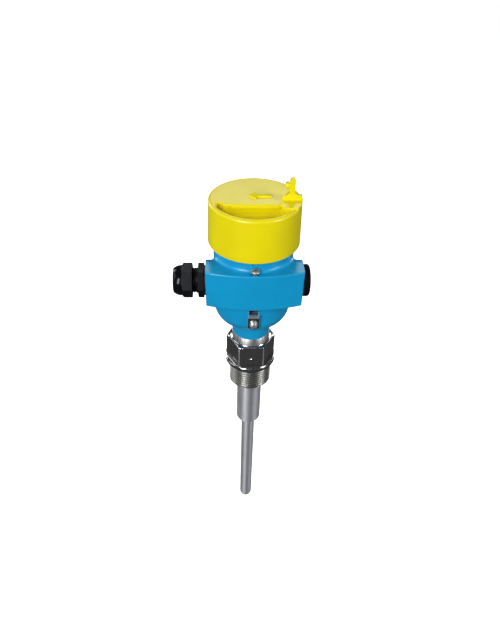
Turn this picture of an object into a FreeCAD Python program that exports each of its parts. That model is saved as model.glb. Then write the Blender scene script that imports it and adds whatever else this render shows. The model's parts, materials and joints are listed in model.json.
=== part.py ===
import FreeCAD, Part
import math
import os

from FreeCAD import Vector

# Vibrating rod level switch. Millimetres, z = 0 at the sealing face under the flange, +Z up,
# front = -Y, cable gland at -X, blind plug at +X.

# Clearances
sliding_gap = 0.3           # curved faces that pass each other
turned_fit = 0.05           # radial room of screwed and pressed spigots
seat_gap = 0.1              # room round pieces that are only laid in

# Edges and hexagons that several pieces share
edge_break = 0.6            # chamfer of turned edges
hex_chamfer_angle = 30.0
hex_crown = 0.985           # turned end face of a hexagon, against its width across flats
driver_slot = 0.8           # width and depth of a screw's slot
driver_slot_depth = 1.0

# Vibrating element: a rod pressed into the end of a tube, with a piezo stack on its stud
tube_r = 9.95
tube_wall = 1.85
tube_reach = 75.4           # tube's end below the sealing face
tube_cone_length = 5.4
tube_tip_wall = 1.0
tube_floor = 6.0            # thickness of the tube's closed end
tube_socket = 10.0          # how far the tube goes up into the fitting
rod_r = 5.6
rod_reach = 195.4           # rod's tip below the sealing face
membrane_height = 3.0
stud_r = 2.2
stud_above_nut = 1.5
piezo_room = 1.9            # between the stack and the tube's wall
piezo_height = 3.0
piezo_count = 4
insulator_height = 1.5
electrode_height = 0.4
electrode_width = 3.0
electrode_root = 0.5        # overlap of a tab with its ring
preload_flats = 8.0
preload_height = 4.0
lead_r = 0.5

# Process fitting: flange, hexagon and neck above the sealing face, thread below it
thread_r = 16.62            # G1 parallel thread, major radius
thread_length = 21.5
thread_lead_in = 1.2        # chamfer at the thread's end
flange_width = 2.63         # flange beyond the thread
flange_height = 4.0
hex_flats = 32.0
hex_height = 19.0
hex_corner = 0.5            # rounding of the hexagon's upright edges
neck_step = 0.23            # neck beyond the housing's collar
neck_height = 6.3
lead_step = 0.2             # fitting's bore inside the tube's bore
spigot_wall = 2.6
spigot_length = 12.0        # part of the fitting that sits in the housing's collar
spigot_lead_in = 0.8
o_ring_r = 0.9              # section radius of the ring on the spigot
o_ring_height = 5.0         # centre of the ring above the neck

# Housing: round cup with a bowl-shaped floor and a collar
collar_wall = 3.22
collar_height = 14.2
bowl_height = 10.5
bowl_floor = 5.0            # wall under the bowl's inside
cup_r = 26.8
cup_wall = 3.2
cup_edge = 1.0
ledge_height = 6.0          # electronics module's seat above the bowl
ledge_width = 2.6

# Entry block in front of the cup, with a cable entry in each end
block_overhang = 4.8        # block's ends beyond the cup's sides
block_front = 5.1           # middle of the bowed front beyond the cup
block_bow = 5.0
block_lift = 17.4           # block's underside above the bowl
block_height = 27.0
block_edge = 1.0
cast_fillet = 2.5           # where the block meets the cup
collar_fillet = 3.0         # where the bowl meets the collar
entry_thread_r = 8.0        # M16 x 1.5
entry_wall = 2.8            # thinnest wall in front of an entry

# Lid: screwed over the cup
lid_gap = 8.4               # open neck between block and lid
lid_overlap = 15.2          # lid's skirt over the cup
lid_height = 29.5
lid_wall = 3.2
lid_draft = 0.75
lid_edge = 0.5              # at the skirt's mouth
lid_round = 2.0             # from the skirt over into the top
lid_soft_edge = 0.5         # edges of pocket, grip and nub
lid_roof = 6.0              # thickness of the lid's top
lid_seal_height = 2.0
lid_seal_width = 2.8
lid_rib_y = -8.9            # face of the step across the lid's top
lid_rib_wall = 3.0
lid_pocket_floor = 4.3      # thickness under the pocket in front of the step
lid_pocket_corner = 1.0
lid_rim = 2.9
lid_brink = 0.8             # soft upper edge of pocket and rim
lid_left_wall = 5.4         # pocket's left end from the lid's side
lid_notch_width = 3.7       # notch that runs back from the pocket's left end
lid_notch_back = 3.0
lid_notch_depth = 4.5
lid_notch_round = 1.8       # rounded end of the step beside the notch
lid_block_width = 13.2
lid_block_front_y = -15.2
lid_block_rise = 1.2
lid_bar_front_y = -5.5
lid_bar_depth = 3.0
lid_bar_rise = 3.0
lid_bar_inset = 1.0         # bar's right end from the lid's side
lid_post_inset = 7.4        # post's centre from the lid's side
lid_post_width = 3.4
lid_post_depth = 2.6
lid_post_foot = 6.8
lid_post_height = 10.9
lid_nub_angle = 37.5
lid_nub_inset = 2.0
lid_nub_width = 2.6
lid_nub_depth = 4.0
lid_nub_rise = 2.2
lid_strip_half = 15.0       # bar along the step's face
lid_strip_drop = 0.6
lid_strip_height = 2.2
lid_strip_rise = 0.9
lid_root = 0.5              # how far grip, post, nub and bar go into the lid
lid_crown = 0.8             # rounding of post and nub, against half their width

# Lock screw in the block's top: turned further out, its head jams the lid's skirt
lock_screw_out = 2.0        # its axis in front of the cup
lock_screw_head_r = 3.0
lock_screw_head = 2.4
lock_screw_r = 1.75
lock_screw_length = 10.0
lock_screw_stand = 1.5      # its head above the block's top

# Cable gland, lengths along its own axis from the block's end face outwards
gasket_height = 1.0
gasket_width = 1.9
gland_flange_width = 2.0    # half the width across flats, beyond the entry thread
gland_flange = 4.0
gland_edge = 0.4            # moulded edges of the flange
gland_spigot = 8.0
gland_neck_step = 0.28      # nut's thread beyond the entry thread
gland_neck_wall = 1.68
gland_stop = 0.9            # step at the inner end of the seal's room
gland_seal_wall = 2.3
gland_seal_length = 10.7
gland_seal_lip = 1.6
nut_gap = 3.7               # bare thread between flange and nut
nut_engaged = 3.6
nut_thread_length = 7.4
nut_hex_length = 6.8
nut_nose_length = 5.6
nut_nose_round = 0.4
nut_nose_wall = 2.8
nut_mouth_step = 1.2        # nut's mouth round the seal's bore

# Blind plug
plug_flange = 2.7
plug_head = 3.8
plug_dome = 1.4
plug_dome_width = 2.0
plug_spigot = 9.0
plug_slot_width = 2.0
plug_slot_depth = 1.6
plug_slot_margin = 4.3

# Earth terminal on the cup's front
earth_pad_half = 4.2
earth_pad_rise = 0.2        # pad in front of the cup
earth_pad_drop = 2.0        # pad's foot below the bowl's edge
earth_pad_corner = 2.1
earth_slot_half = 3.1
earth_slot_drop = 9.9       # wire slot's floor below the block
earth_slot_height = 6.2
earth_slot_depth = 5.0
earth_plate_half = 3.8
earth_plate_thickness = 1.8
earth_plate_height = 10.6
earth_plate_cover = 2.6     # plate's top edge above the slot's floor
earth_lip = 1.4
earth_screw_lift = 3.5      # screw above the plate's lower edge
earth_screw_r = 1.7
earth_screw_head_r = 2.4
earth_screw_head = 1.9
earth_screw_length = 7.5
earth_washer_r = 3.0
earth_washer_height = 0.6

# Electronics module in the cup
module_room = 0.4           # round the module's flange
module_flange = 3.0
module_flange_width = 2.4
module_height = 16.0
module_edge = 1.0
module_screw_inset = 4.0
module_screw_r = 1.5
module_screw_head_r = 2.7
module_screw_head = 2.0
module_screw_length = 11.0
module_post_r = 3.6
terminal_pitch = 5.9
terminal_y = 4.0
terminal_depth = 10.0
terminal_height = 10.0
terminal_wall = 1.2
terminal_wire = 4.0
terminal_sheet = 0.5        # thickness of a metal cage
terminal_set_back = 1.0     # cage behind the block's face
terminal_screw_r = 1.7
terminal_screw_depth = 1.2  # screw's head below the block's top
terminal_slot = 0.6
dial_y = -7.5
dial_r = 3.2
dial_taper = 0.3
dial_height = 3.4
dial_slot = 1.0
dial_slot_depth = 1.2
dial_pointer = 1.8          # width and depth of the mark on the dial's rim
dial_pointer_depth = 0.6
dial_shaft_r = 1.5
dial_shaft = 4.0
switch_x = -9.0
switch_y = -6.0
switch_length = 3.0
switch_width = 3.0
switch_rise = 2.0
switch_depth = 2.0
switch_edge = 0.4
switch_travel = 3.0
led_x = 9.0
led_y = -6.0
led_r = 1.5
led_rise = 1.2
led_depth = 2.0

# Vibrating element and fitting, from the sizes above
tube_end_z = -tube_reach
tube_top_z = tube_socket - thread_length
tube_bore_r = tube_r - tube_wall
rod_tip_z = -rod_reach
membrane_z = tube_end_z + tube_floor
stack_z = membrane_z + membrane_height
stack_height = 2 * insulator_height + piezo_count * piezo_height + (piezo_count - 1) * electrode_height
piezo_r = tube_bore_r - piezo_room
lead_x = (piezo_r + tube_bore_r) / 2
flange_r = thread_r + flange_width
fitting_bore_r = tube_bore_r - lead_step
spigot_r = fitting_bore_r + spigot_wall
collar_r = spigot_r + turned_fit + collar_wall
neck_r = collar_r + neck_step
hex_top_z = flange_height + hex_height
neck_top_z = hex_top_z + neck_height
spigot_top_z = neck_top_z + spigot_length

# Housing, from the fitting upwards
bowl_bottom_z = neck_top_z + collar_height
bowl_top_z = bowl_bottom_z + bowl_height
ledge_z = bowl_top_z + ledge_height
cup_bore_r = cup_r - cup_wall
block_half = cup_r + block_overhang
block_mid_y = -cup_r - block_front
block_end_y = block_mid_y + block_bow
block_bottom_z = bowl_top_z + block_lift
block_top_z = block_bottom_z + block_height
entry_y = block_end_y + entry_wall + entry_thread_r
entry_z = block_bottom_z + block_height / 2
lid_bottom_z = block_top_z + lid_gap
cup_top_z = lid_bottom_z + lid_overlap
lock_screw_y = -cup_r - lock_screw_out
lock_seat_z = block_top_z + lock_screw_stand
earth_pad_y = -cup_r - earth_pad_rise
earth_pad_bottom_z = bowl_top_z - earth_pad_drop
earth_slot_z = block_bottom_z - earth_slot_drop
earth_plate_top_z = earth_slot_z + earth_plate_cover
earth_plate_bottom_z = earth_plate_top_z - earth_plate_height
earth_screw_z = earth_plate_bottom_z + earth_screw_lift

# Lid
lid_bore_r = cup_r + sliding_gap
lid_bottom_r = lid_bore_r + lid_wall
lid_top_r = lid_bottom_r - lid_draft
lid_top_z = lid_bottom_z + lid_height
lid_ceiling_z = cup_top_z + lid_seal_height
lid_pocket_z = lid_ceiling_z + lid_pocket_floor

# Gland and plug
gasket_r = entry_thread_r + gasket_width
entry_spigot_r = entry_thread_r - turned_fit
gland_flats = 2 * (entry_thread_r + gland_flange_width)
gland_neck_r = entry_thread_r + gland_neck_step
gland_seal_room_r = gland_neck_r - gland_neck_wall
gland_seal_r = gland_seal_room_r - sliding_gap
gland_bore_r = gland_seal_r - gland_stop
gland_seal_bore_r = gland_seal_r - gland_seal_wall
nut_start = gasket_height + gland_flange + nut_gap
nut_shoulder = nut_start + nut_thread_length
nut_mouth_r = gland_seal_bore_r + nut_mouth_step
nut_nose_r = nut_mouth_r + nut_nose_wall
gland_neck_end = nut_start + nut_engaged
plug_r = entry_thread_r + plug_flange

# Electronics module
module_r = cup_bore_r - module_room
module_body_r = module_r - module_flange_width
module_screw_x = module_body_r - module_screw_inset
module_top_z = ledge_z + module_height
terminal_back_y = terminal_y + terminal_depth
terminal_count = int(2 * math.sqrt(module_body_r ** 2 - terminal_back_y ** 2) / terminal_pitch)
terminal_xs = [(i - (terminal_count - 1) / 2) * terminal_pitch for i in range(terminal_count)]
terminal_screw_y = terminal_y + terminal_depth / 2
terminal_floor_z = module_top_z + terminal_wall
terminal_top_z = module_top_z + terminal_height

up = Vector(0, 0, 1)
right = Vector(1, 0, 0)
front = Vector(0, -1, 0)


def turned(points):
    """Revolve an outline of (radius, height) points about Z. A point of three values is the
    middle of an arc between its neighbours."""
    ends = [p for p in points if len(p) == 2]
    edges = []
    previous = None
    middle = None
    for point in points + [points[0]]:
        here = Vector(point[0], 0, point[1])
        if len(point) == 3:
            middle = here
            continue
        if previous is not None:
            if middle is not None:
                edges.append(Part.Arc(previous, middle, here).toShape())
            else:
                edges.append(Part.makeLine(previous, here))
        previous = here
        middle = None
    assert len(edges) == len(ends)
    return Part.Face(Part.Wire(edges)).revolve(Vector(), up, 360)


def bar(radius, length, base, direction=up):
    return Part.makeCylinder(radius, length, base, direction)


def ring(outer_r, inner_r, height, z=0.0):
    return bar(outer_r, height, Vector(0, 0, z)).cut(bar(inner_r, height, Vector(0, 0, z)))


def brick(x0, x1, y0, y1, z0, z1):
    return Part.makeBox(x1 - x0, y1 - y0, z1 - z0, Vector(x0, y0, z0))


def hexagon(flats, height, z=0.0, turn=0.0):
    corner = flats / math.sqrt(3)
    angles = [math.radians(60 * i + turn) for i in range(7)]
    points = [Vector(corner * math.cos(a), corner * math.sin(a), z) for a in angles]
    return Part.Face(Part.makePolygon(points)).extrude(Vector(0, 0, height))


def corner_cone(flats, height, z, angle, both_ends=True):
    """Turned blank that chamfers the corners of a hexagon."""
    flat_r = flats / 2 * hex_crown
    corner = flats / math.sqrt(3) + seat_gap
    drop = (corner - flat_r) * math.tan(math.radians(angle))
    low = flat_r if both_ends else corner
    points = [(0, z), (low, z), (corner, z + drop), (corner, z + height - drop)]
    points += [(flat_r, z + height), (0, z + height)]
    if not both_ends:
        points.pop(2)
    return turned(points)


def at_entry(shape, side):
    """Lay a piece drawn along +Z on the cable entry of the left (-1) or right (+1) end."""
    shape.rotate(Vector(), Vector(0, 1, 0), 90 * side)
    shape.translate(Vector(side * block_half, entry_y, entry_z))
    return shape


def facing_front(shape, y, z):
    """Lay a piece drawn along +Z so that it points to the front from (0, y, z)."""
    shape.rotate(Vector(), Vector(1, 0, 0), 90)
    shape.translate(Vector(0, y, z))
    return shape


def near(edge, x=None, y=None, z=None, room=0.05):
    centre = edge.BoundBox.Center
    wanted = ((x, centre.x), (y, centre.y), (z, centre.z))
    return all(value is None or abs(value - real) < room for value, real in wanted)


# Process fitting and its ring

def process_fitting():
    groove_z = neck_top_z + o_ring_height
    groove_r = spigot_r - 2 * o_ring_r + seat_gap
    body = turned([
        (fitting_bore_r, tube_top_z),
        (tube_r + turned_fit, tube_top_z),
        (tube_r + turned_fit, -thread_length),
        (thread_r - thread_lead_in, -thread_length),
        (thread_r, thread_lead_in - thread_length),
        (thread_r, 0),
        (flange_r - edge_break, 0),
        (flange_r, edge_break),
        (flange_r, flange_height - edge_break),
        (flange_r - edge_break, flange_height),
        (neck_r, flange_height),
        (neck_r, neck_top_z),
        (spigot_r, neck_top_z),
        (spigot_r, groove_z - o_ring_r),
        (groove_r, groove_z - o_ring_r),
        (groove_r, groove_z + o_ring_r),
        (spigot_r, groove_z + o_ring_r),
        (spigot_r, spigot_top_z - spigot_lead_in),
        (spigot_r - spigot_lead_in, spigot_top_z),
        (fitting_bore_r, spigot_top_z),
    ])
    nut = hexagon(hex_flats, hex_height, flange_height)
    nut = nut.makeFillet(hex_corner, [e for e in nut.Edges if near(e, z=flange_height + hex_height / 2)])
    nut = nut.common(corner_cone(hex_flats, hex_height, flange_height, hex_chamfer_angle, False))
    nut = nut.cut(bar(fitting_bore_r, hex_height, Vector(0, 0, flange_height)))
    return body.fuse(nut).removeSplitter()


def spigot_o_ring():
    centre_r = spigot_r - o_ring_r + turned_fit
    section_r = o_ring_r - turned_fit
    return Part.makeTorus(centre_r, section_r, Vector(0, 0, neck_top_z + o_ring_height))


# Vibrating element

def sensor_tube():
    return turned([
        (rod_r + turned_fit, tube_end_z),
        (rod_r + tube_tip_wall, tube_end_z),
        (tube_r, tube_end_z + tube_cone_length),
        (tube_r, tube_top_z),
        (tube_bore_r, tube_top_z),
        (tube_bore_r, membrane_z),
        (rod_r + turned_fit, membrane_z),
    ])


def sensing_rod():
    nut_top_z = stack_z + stack_height + preload_height
    corner = rod_r * math.sqrt(0.5)
    return turned([
        (0, rod_tip_z),
        (corner, rod_tip_z + rod_r - corner, "arc"),
        (rod_r, rod_tip_z + rod_r),
        (rod_r, membrane_z),
        (tube_bore_r - turned_fit, membrane_z),
        (tube_bore_r - turned_fit, stack_z),
        (stud_r, stack_z),
        (stud_r, nut_top_z + stud_above_nut),
        (0, nut_top_z + stud_above_nut),
    ])


def layer_z(index):
    """Height of a piezo ring's lower face."""
    return stack_z + insulator_height + index * (piezo_height + electrode_height)


def insulator_rings():
    top_z = stack_z + stack_height - insulator_height
    heights = [stack_z, top_z]
    return Part.makeCompound([ring(piezo_r, stud_r + seat_gap, insulator_height, z) for z in heights])


def piezo_rings():
    heights = [layer_z(i) for i in range(piezo_count)]
    return Part.makeCompound([ring(piezo_r, stud_r + seat_gap, piezo_height, z) for z in heights])


def electrodes():
    """Contact sheets between the piezo rings, with a tab on alternate sides."""
    sheets = []
    for index in range(piezo_count - 1):
        z = layer_z(index) + piezo_height
        side = -1 if index % 2 else 1
        sheet = ring(piezo_r, stud_r + seat_gap, electrode_height, z)
        tab_end = side * (lead_x + lead_r)
        tab_start = side * (piezo_r - electrode_width)
        tab = brick(min(tab_start, tab_end), max(tab_start, tab_end), -electrode_width / 2,
                    electrode_width / 2, z, z + electrode_height)
        tab = tab.cut(bar(piezo_r - electrode_root, electrode_height, Vector(0, 0, z)))
        sheets.append(sheet.fuse(tab).removeSplitter())
    return Part.makeCompound(sheets)


def preload_nut():
    z = stack_z + stack_height
    nut = hexagon(preload_flats, preload_height, z)
    nut = nut.common(corner_cone(preload_flats, preload_height, z, hex_chamfer_angle))
    return nut.cut(bar(stud_r + turned_fit, preload_height, Vector(0, 0, z)))


def sensor_leads():
    """Two wires from the top contact sheets straight up to the electronics module."""
    leads = []
    for index in (piezo_count - 2, piezo_count - 3):
        side = -1 if index % 2 else 1
        z = layer_z(index) + piezo_height + electrode_height
        leads.append(bar(lead_r, ledge_z - z, Vector(side * lead_x, 0, z)))
    return Part.makeCompound(leads)


# Housing

def bowl_arc(inner_r, bottom_z, outer_r, top_z):
    """Middle point of a quarter-round bowl between two outline points."""
    half = math.sqrt(0.5)
    return (inner_r + (outer_r - inner_r) * half, top_z - (top_z - bottom_z) * half, "arc")


def cup_outside():
    return turned([
        (0, neck_top_z),
        (collar_r, neck_top_z),
        (collar_r, bowl_bottom_z),
        bowl_arc(collar_r, bowl_bottom_z, cup_r, bowl_top_z),
        (cup_r, bowl_top_z),
        (cup_r, cup_top_z - cup_edge),
        (cup_r - cup_edge, cup_top_z),
        (0, cup_top_z),
    ])


def cup_inside():
    ledge_r = cup_bore_r - ledge_width
    lead_bore_r = fitting_bore_r + sliding_gap
    floor_z = bowl_bottom_z + bowl_floor
    return turned([
        (0, neck_top_z),
        (spigot_r + turned_fit, neck_top_z),
        (spigot_r + turned_fit, spigot_top_z),
        (lead_bore_r, spigot_top_z),
        (lead_bore_r, floor_z),
        (ledge_r, bowl_top_z + bowl_floor / 2),
        (ledge_r, ledge_z),
        (cup_bore_r, ledge_z),
        (cup_bore_r, cup_top_z),
        (0, cup_top_z),
    ])


def entry_block():
    """Block with a bowed front and a round back about the line through both cable entries."""
    left_end = Vector(-block_half, block_end_y, block_bottom_z)
    middle = Vector(0, block_mid_y, block_bottom_z)
    right_end = Vector(block_half, block_end_y, block_bottom_z)
    back_right = Vector(block_half, entry_y, block_bottom_z)
    back_left = Vector(-block_half, entry_y, block_bottom_z)
    edges = [
        Part.Arc(left_end, middle, right_end).toShape(),
        Part.makeLine(right_end, back_right),
        Part.makeLine(back_right, back_left),
        Part.makeLine(back_left, left_end),
    ]
    block = Part.Face(Part.Wire(edges)).extrude(Vector(0, 0, block_height))
    rounded = [e for e in block.Edges if near(e, x=0) and e.BoundBox.Center.y < block_end_y]
    rounded += [e for e in block.Edges if near(e, y=block_end_y, z=entry_z)]
    block = block.makeFillet(block_edge, rounded)
    back_r = block_height / 2
    back = bar(back_r, 2 * block_half, Vector(-block_half, entry_y, entry_z), right)
    back = back.common(brick(-block_half, block_half, entry_y, entry_y + back_r,
                             block_bottom_z, block_top_z))
    return block.fuse(back).removeSplitter()


def earth_pad():
    pad = brick(-earth_pad_half, earth_pad_half, earth_pad_y, entry_y, earth_pad_bottom_z, block_bottom_z)
    corners = [e for e in pad.Edges if near(e, y=(earth_pad_y + entry_y) / 2, z=earth_pad_bottom_z)]
    return pad.makeFillet(earth_pad_corner, corners)


def module_post(side):
    """Post in the bowl that takes a screw of the electronics module."""
    post = bar(module_post_r, ledge_z - bowl_bottom_z, Vector(side * module_screw_x, 0, bowl_bottom_z))
    return post.common(cup_outside())


def cast_body():
    """Cup and entry block in one casting, with a fillet all along the line where they meet."""
    body = cup_outside().fuse(entry_block()).removeSplitter()
    cup_side = max(body.Faces, key=lambda face: face.BoundBox.ZLength)
    seam = [e for e in cup_side.Edges if abs(e.BoundBox.Center.z - entry_z) < block_height]
    seam = [e for e in seam if e.BoundBox.YMax < 0]
    body = body.makeFillet(cast_fillet, seam)
    return body.makeFillet(collar_fillet, [e for e in body.Edges if near(e, z=bowl_bottom_z)])


def housing():
    shell = cast_body().fuse(earth_pad())
    shell = shell.cut(cup_inside())
    shell = shell.fuse([module_post(-1), module_post(1)]).removeSplitter()
    entry = bar(entry_thread_r, 2 * block_half, Vector(-block_half, entry_y, entry_z), right)
    lock_foot = Vector(0, lock_screw_y, lock_seat_z - lock_screw_length)
    lock_hole = bar(lock_screw_r + turned_fit, lock_screw_length, lock_foot)
    lock_face = bar(lock_screw_head_r + seat_gap, lid_gap, Vector(0, lock_screw_y, block_top_z))
    wire_slot = brick(-earth_slot_half, earth_slot_half, earth_pad_y, earth_pad_y + earth_slot_depth,
                      earth_slot_z, earth_slot_z + earth_slot_height)
    earth_depth = earth_screw_length - earth_plate_thickness - earth_washer_height
    earth_end = Vector(0, earth_pad_y + earth_depth, earth_screw_z)
    earth_hole = bar(earth_screw_r + turned_fit, earth_depth, earth_end, front)
    holes = [entry, lock_hole, lock_face, wire_slot, earth_hole]
    for side in (-1, 1):
        depth = module_screw_length - module_flange
        foot = Vector(side * module_screw_x, 0, ledge_z - depth)
        holes.append(bar(module_screw_r + turned_fit, depth, foot))
    return shell.cut(holes)


def dome_arc(radius, rise, z):
    """Middle point of a dome that ends level on the axis."""
    sphere_r = (radius ** 2 + rise ** 2) / (2 * rise)
    half_angle = math.asin(radius / sphere_r) / 2
    return (sphere_r * math.sin(half_angle), z + rise - sphere_r + sphere_r * math.cos(half_angle), "arc")


def pan_head_screw(head_r, head_height, shank_r, shank_length):
    """Screw along +Z with its head's seat at z = 0."""
    dome = head_height - driver_slot_depth
    screw = turned([
        (0, -shank_length),
        (shank_r, -shank_length),
        (shank_r, 0),
        (head_r, 0),
        (head_r, head_height - dome),
        dome_arc(head_r, dome, head_height - dome),
        (0, head_height),
    ])
    slot_half = driver_slot / 2
    slot = brick(-head_r, head_r, -slot_half, slot_half, head_height - driver_slot_depth, head_height)
    return screw.cut(slot)


def lock_screw():
    screw = pan_head_screw(lock_screw_head_r, lock_screw_head, lock_screw_r, lock_screw_length)
    screw.translate(Vector(0, lock_screw_y, lock_seat_z))
    return screw


# Lid and its seal

def lid_outside():
    return turned([
        (0, lid_bottom_z),
        (lid_bottom_r - lid_edge, lid_bottom_z),
        (lid_bottom_r, lid_bottom_z + lid_edge),
        (lid_top_r, lid_top_z - lid_round),
        bowl_arc(lid_top_r - lid_round, lid_top_z, lid_top_r, lid_top_z - lid_round),
        (lid_top_r - lid_round, lid_top_z),
        (0, lid_top_z),
    ])


def lid_inside():
    """Bore over the cup, and a shallower hollow under the lid's top behind the step."""
    bore = bar(lid_bore_r, lid_ceiling_z - lid_bottom_z, Vector(0, 0, lid_bottom_z))
    hollow_r = cup_bore_r - sliding_gap
    hollow = bar(hollow_r, lid_top_z - lid_roof - lid_ceiling_z, Vector(0, 0, lid_ceiling_z))
    hollow = hollow.common(brick(-hollow_r, hollow_r, lid_rib_y + lid_rib_wall, hollow_r,
                                 lid_ceiling_z, lid_top_z))
    return bore.fuse(hollow)


def lid_pocket():
    """Space in front of the step, inside the rim."""
    left_x = lid_left_wall - lid_top_r
    space = bar(lid_top_r - lid_rim, lid_top_z - lid_pocket_z, Vector(0, 0, lid_pocket_z))
    space = space.common(brick(left_x, lid_top_r, -lid_top_r, lid_rib_y, lid_pocket_z, lid_top_z))
    corners = [e for e in space.Edges if near(e, x=left_x) and e.BoundBox.YLength < lid_pocket_corner]
    corners += [e for e in space.Edges if near(e, z=lid_pocket_z)]
    space = space.makeFillet(lid_pocket_corner, corners).fuse(lid_notch(left_x)).removeSplitter()
    step_end = [e for e in space.Edges if near(e, x=left_x + lid_notch_width, y=lid_rib_y)]
    return space.makeFillet(lid_notch_round, step_end)


def lid_notch(left_x):
    """Notch between the rim and the step's left end."""
    back_y = lid_rib_y + lid_notch_back
    # its floor stays clear of the rounding at the pocket's floor
    floor_z = max(lid_top_z - lid_notch_depth, lid_pocket_z + lid_pocket_corner + lid_soft_edge)
    notch = brick(left_x, left_x + lid_notch_width, lid_rib_y - lid_pocket_corner, back_y, floor_z, lid_top_z)
    corners = [e for e in notch.Edges if near(e, y=back_y) and e.BoundBox.ZLength > (lid_top_z - floor_z) / 2]
    return notch.makeFillet(lid_pocket_corner, corners)


def lid_grip():
    """Stepped block at the right end of the pocket, with an upright post for a seal wire."""
    low_z = lid_pocket_z - lid_root
    block_x = lid_top_r - lid_block_width
    block_z = lid_top_z + lid_block_rise
    bar_z = block_z + lid_bar_rise
    bar_back_y = lid_bar_front_y + lid_bar_depth
    low = brick(block_x, lid_top_r, lid_block_front_y, bar_back_y, low_z, block_z)
    high = brick(block_x, lid_top_r - lid_bar_inset, lid_bar_front_y, bar_back_y, low_z, bar_z)
    grip = low.fuse(high).common(bar(lid_top_r, bar_z - low_z, Vector(0, 0, low_z))).removeSplitter()
    middle_z = (lid_top_z + bar_z) / 2
    top_edges = [e for e in grip.Edges if near(e, z=bar_z)]
    left_edges = [e for e in grip.Edges if near(e, x=block_x, z=middle_z, room=lid_bar_rise)]
    left_edges = [e for e in left_edges if not near(e, z=bar_z)]
    step_edges = [e for e in grip.Edges if near(e, z=block_z)]
    step_edges = [e for e in step_edges if e.BoundBox.YMin < lid_bar_front_y - lid_soft_edge]
    grip = grip.makeFillet(lid_soft_edge, top_edges + left_edges + step_edges)
    return grip.fuse(lid_post(bar_z)).removeSplitter()


def lid_post(z):
    """Upright post with a flared foot and a rounded top."""
    half = lid_post_width / 2
    foot = lid_post_foot / 2
    flare_z = z + foot - half
    top_z = z + lid_post_height
    outline = [(-foot, z - lid_root), (foot, z - lid_root), (foot, z), (half, flare_z)]
    outline += [(half, top_z), (-half, top_z), (-half, flare_z), (-foot, z)]
    post_x = lid_top_r - lid_post_inset
    post_y = lid_bar_front_y + (lid_bar_depth - lid_post_depth) / 2
    points = [Vector(post_x + x, post_y, height) for x, height in outline]
    post = Part.Face(Part.makePolygon(points + points[:1])).extrude(Vector(0, lid_post_depth, 0))
    crown = [e for e in post.Edges if near(e, z=top_z) and e.BoundBox.YLength > lid_post_depth / 2]
    return post.makeFillet(half * lid_crown, crown)


def lid_nub():
    half = lid_nub_width / 2
    half_depth = lid_nub_depth / 2
    top_z = lid_top_z + lid_nub_rise
    x = (lid_top_r - lid_nub_inset) * math.cos(math.radians(lid_nub_angle))
    y = (lid_top_r - lid_nub_inset) * math.sin(math.radians(lid_nub_angle))
    nub = brick(x - half, x + half, y - half_depth, y + half_depth, lid_top_z - lid_root, top_z)
    crown = [e for e in nub.Edges if near(e, z=top_z) and e.BoundBox.YLength > half_depth]
    return nub.makeFillet(half * lid_crown, crown)


def lid_strip():
    """Raised bar along the step's face, over the pocket."""
    top_z = lid_top_z - lid_strip_drop
    face_y = lid_rib_y - lid_strip_rise
    strip = brick(-lid_strip_half, lid_strip_half, face_y, lid_rib_y + lid_root,
                  top_z - lid_strip_height, top_z)
    soft = [e for e in strip.Edges if near(e, y=face_y)]
    return strip.makeFillet(lid_soft_edge, soft)


def lid():
    cap = lid_outside().cut(lid_pocket())
    brink = [e for e in cap.Edges if near(e, z=lid_top_z) and e.BoundBox.YMax < 0]
    cap = cap.makeFillet(lid_brink, brink)
    cap = cap.fuse([lid_grip(), lid_nub(), lid_strip()]).removeSplitter()
    return cap.cut(lid_inside()).removeSplitter()


def lid_seal():
    outer_r = cup_r - seat_gap
    return ring(outer_r, outer_r - lid_seal_width, lid_seal_height, cup_top_z)


# Cable gland and blind plug, drawn along +Z from the end face of the block

def gland_gasket():
    return at_entry(ring(gasket_r, entry_thread_r, gasket_height), -1)


def gland_body():
    body = turned([
        (gland_bore_r, -gland_spigot),
        (entry_spigot_r - edge_break, -gland_spigot),
        (entry_spigot_r, edge_break - gland_spigot),
        (entry_spigot_r, gasket_height),
        (gland_neck_r, gasket_height),
        (gland_neck_r, gland_neck_end - edge_break),
        (gland_neck_r - edge_break, gland_neck_end),
        (gland_seal_room_r, gland_neck_end),
        (gland_seal_room_r, gasket_height),
        (gland_bore_r, gasket_height),
    ])
    flange = hexagon(gland_flats, gland_flange, gasket_height, 30)
    flange = flange.makeFillet(gland_edge, flange.Edges)
    flange = flange.cut(bar(gland_seal_room_r, gland_flange, Vector(0, 0, gasket_height)))
    return at_entry(body.fuse(flange).removeSplitter(), -1)


def gland_seal():
    """Sleeve that grips the cable, with a lip that bears inside the nut's nose."""
    inner_end = nut_shoulder - gland_seal_length
    lip_start = nut_shoulder - gland_seal_lip
    seal = turned([
        (gland_seal_bore_r, inner_end),
        (gland_seal_r, inner_end),
        (gland_seal_r, lip_start),
        (gland_neck_r - sliding_gap, lip_start),
        (gland_neck_r - sliding_gap, nut_shoulder),
        (gland_seal_bore_r, nut_shoulder),
    ])
    return at_entry(seal, -1)


def gland_nut():
    hex_end = nut_start + nut_hex_length
    nose_end = hex_end + nut_nose_length
    nose_start_r = gland_flats / 2
    thread_bore_r = gland_neck_r + sliding_gap
    nose = turned([
        (0, hex_end),
        (nose_start_r, hex_end),
        (nose_start_r - nut_nose_round, (hex_end + nose_end) / 2, "arc"),
        (nut_nose_r, nose_end),
        (0, nose_end),
    ])
    grip = hexagon(gland_flats, nut_hex_length, nut_start, 30)
    grip = grip.common(corner_cone(gland_flats, nut_hex_length, nut_start, hex_chamfer_angle, False))
    inside = turned([
        (0, nut_start),
        (thread_bore_r, nut_start),
        (thread_bore_r, nut_shoulder),
        (nut_mouth_r, nut_shoulder),
        (nut_mouth_r, nose_end),
        (0, nose_end),
    ])
    return at_entry(grip.fuse(nose).removeSplitter().cut(inside), -1)


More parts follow.
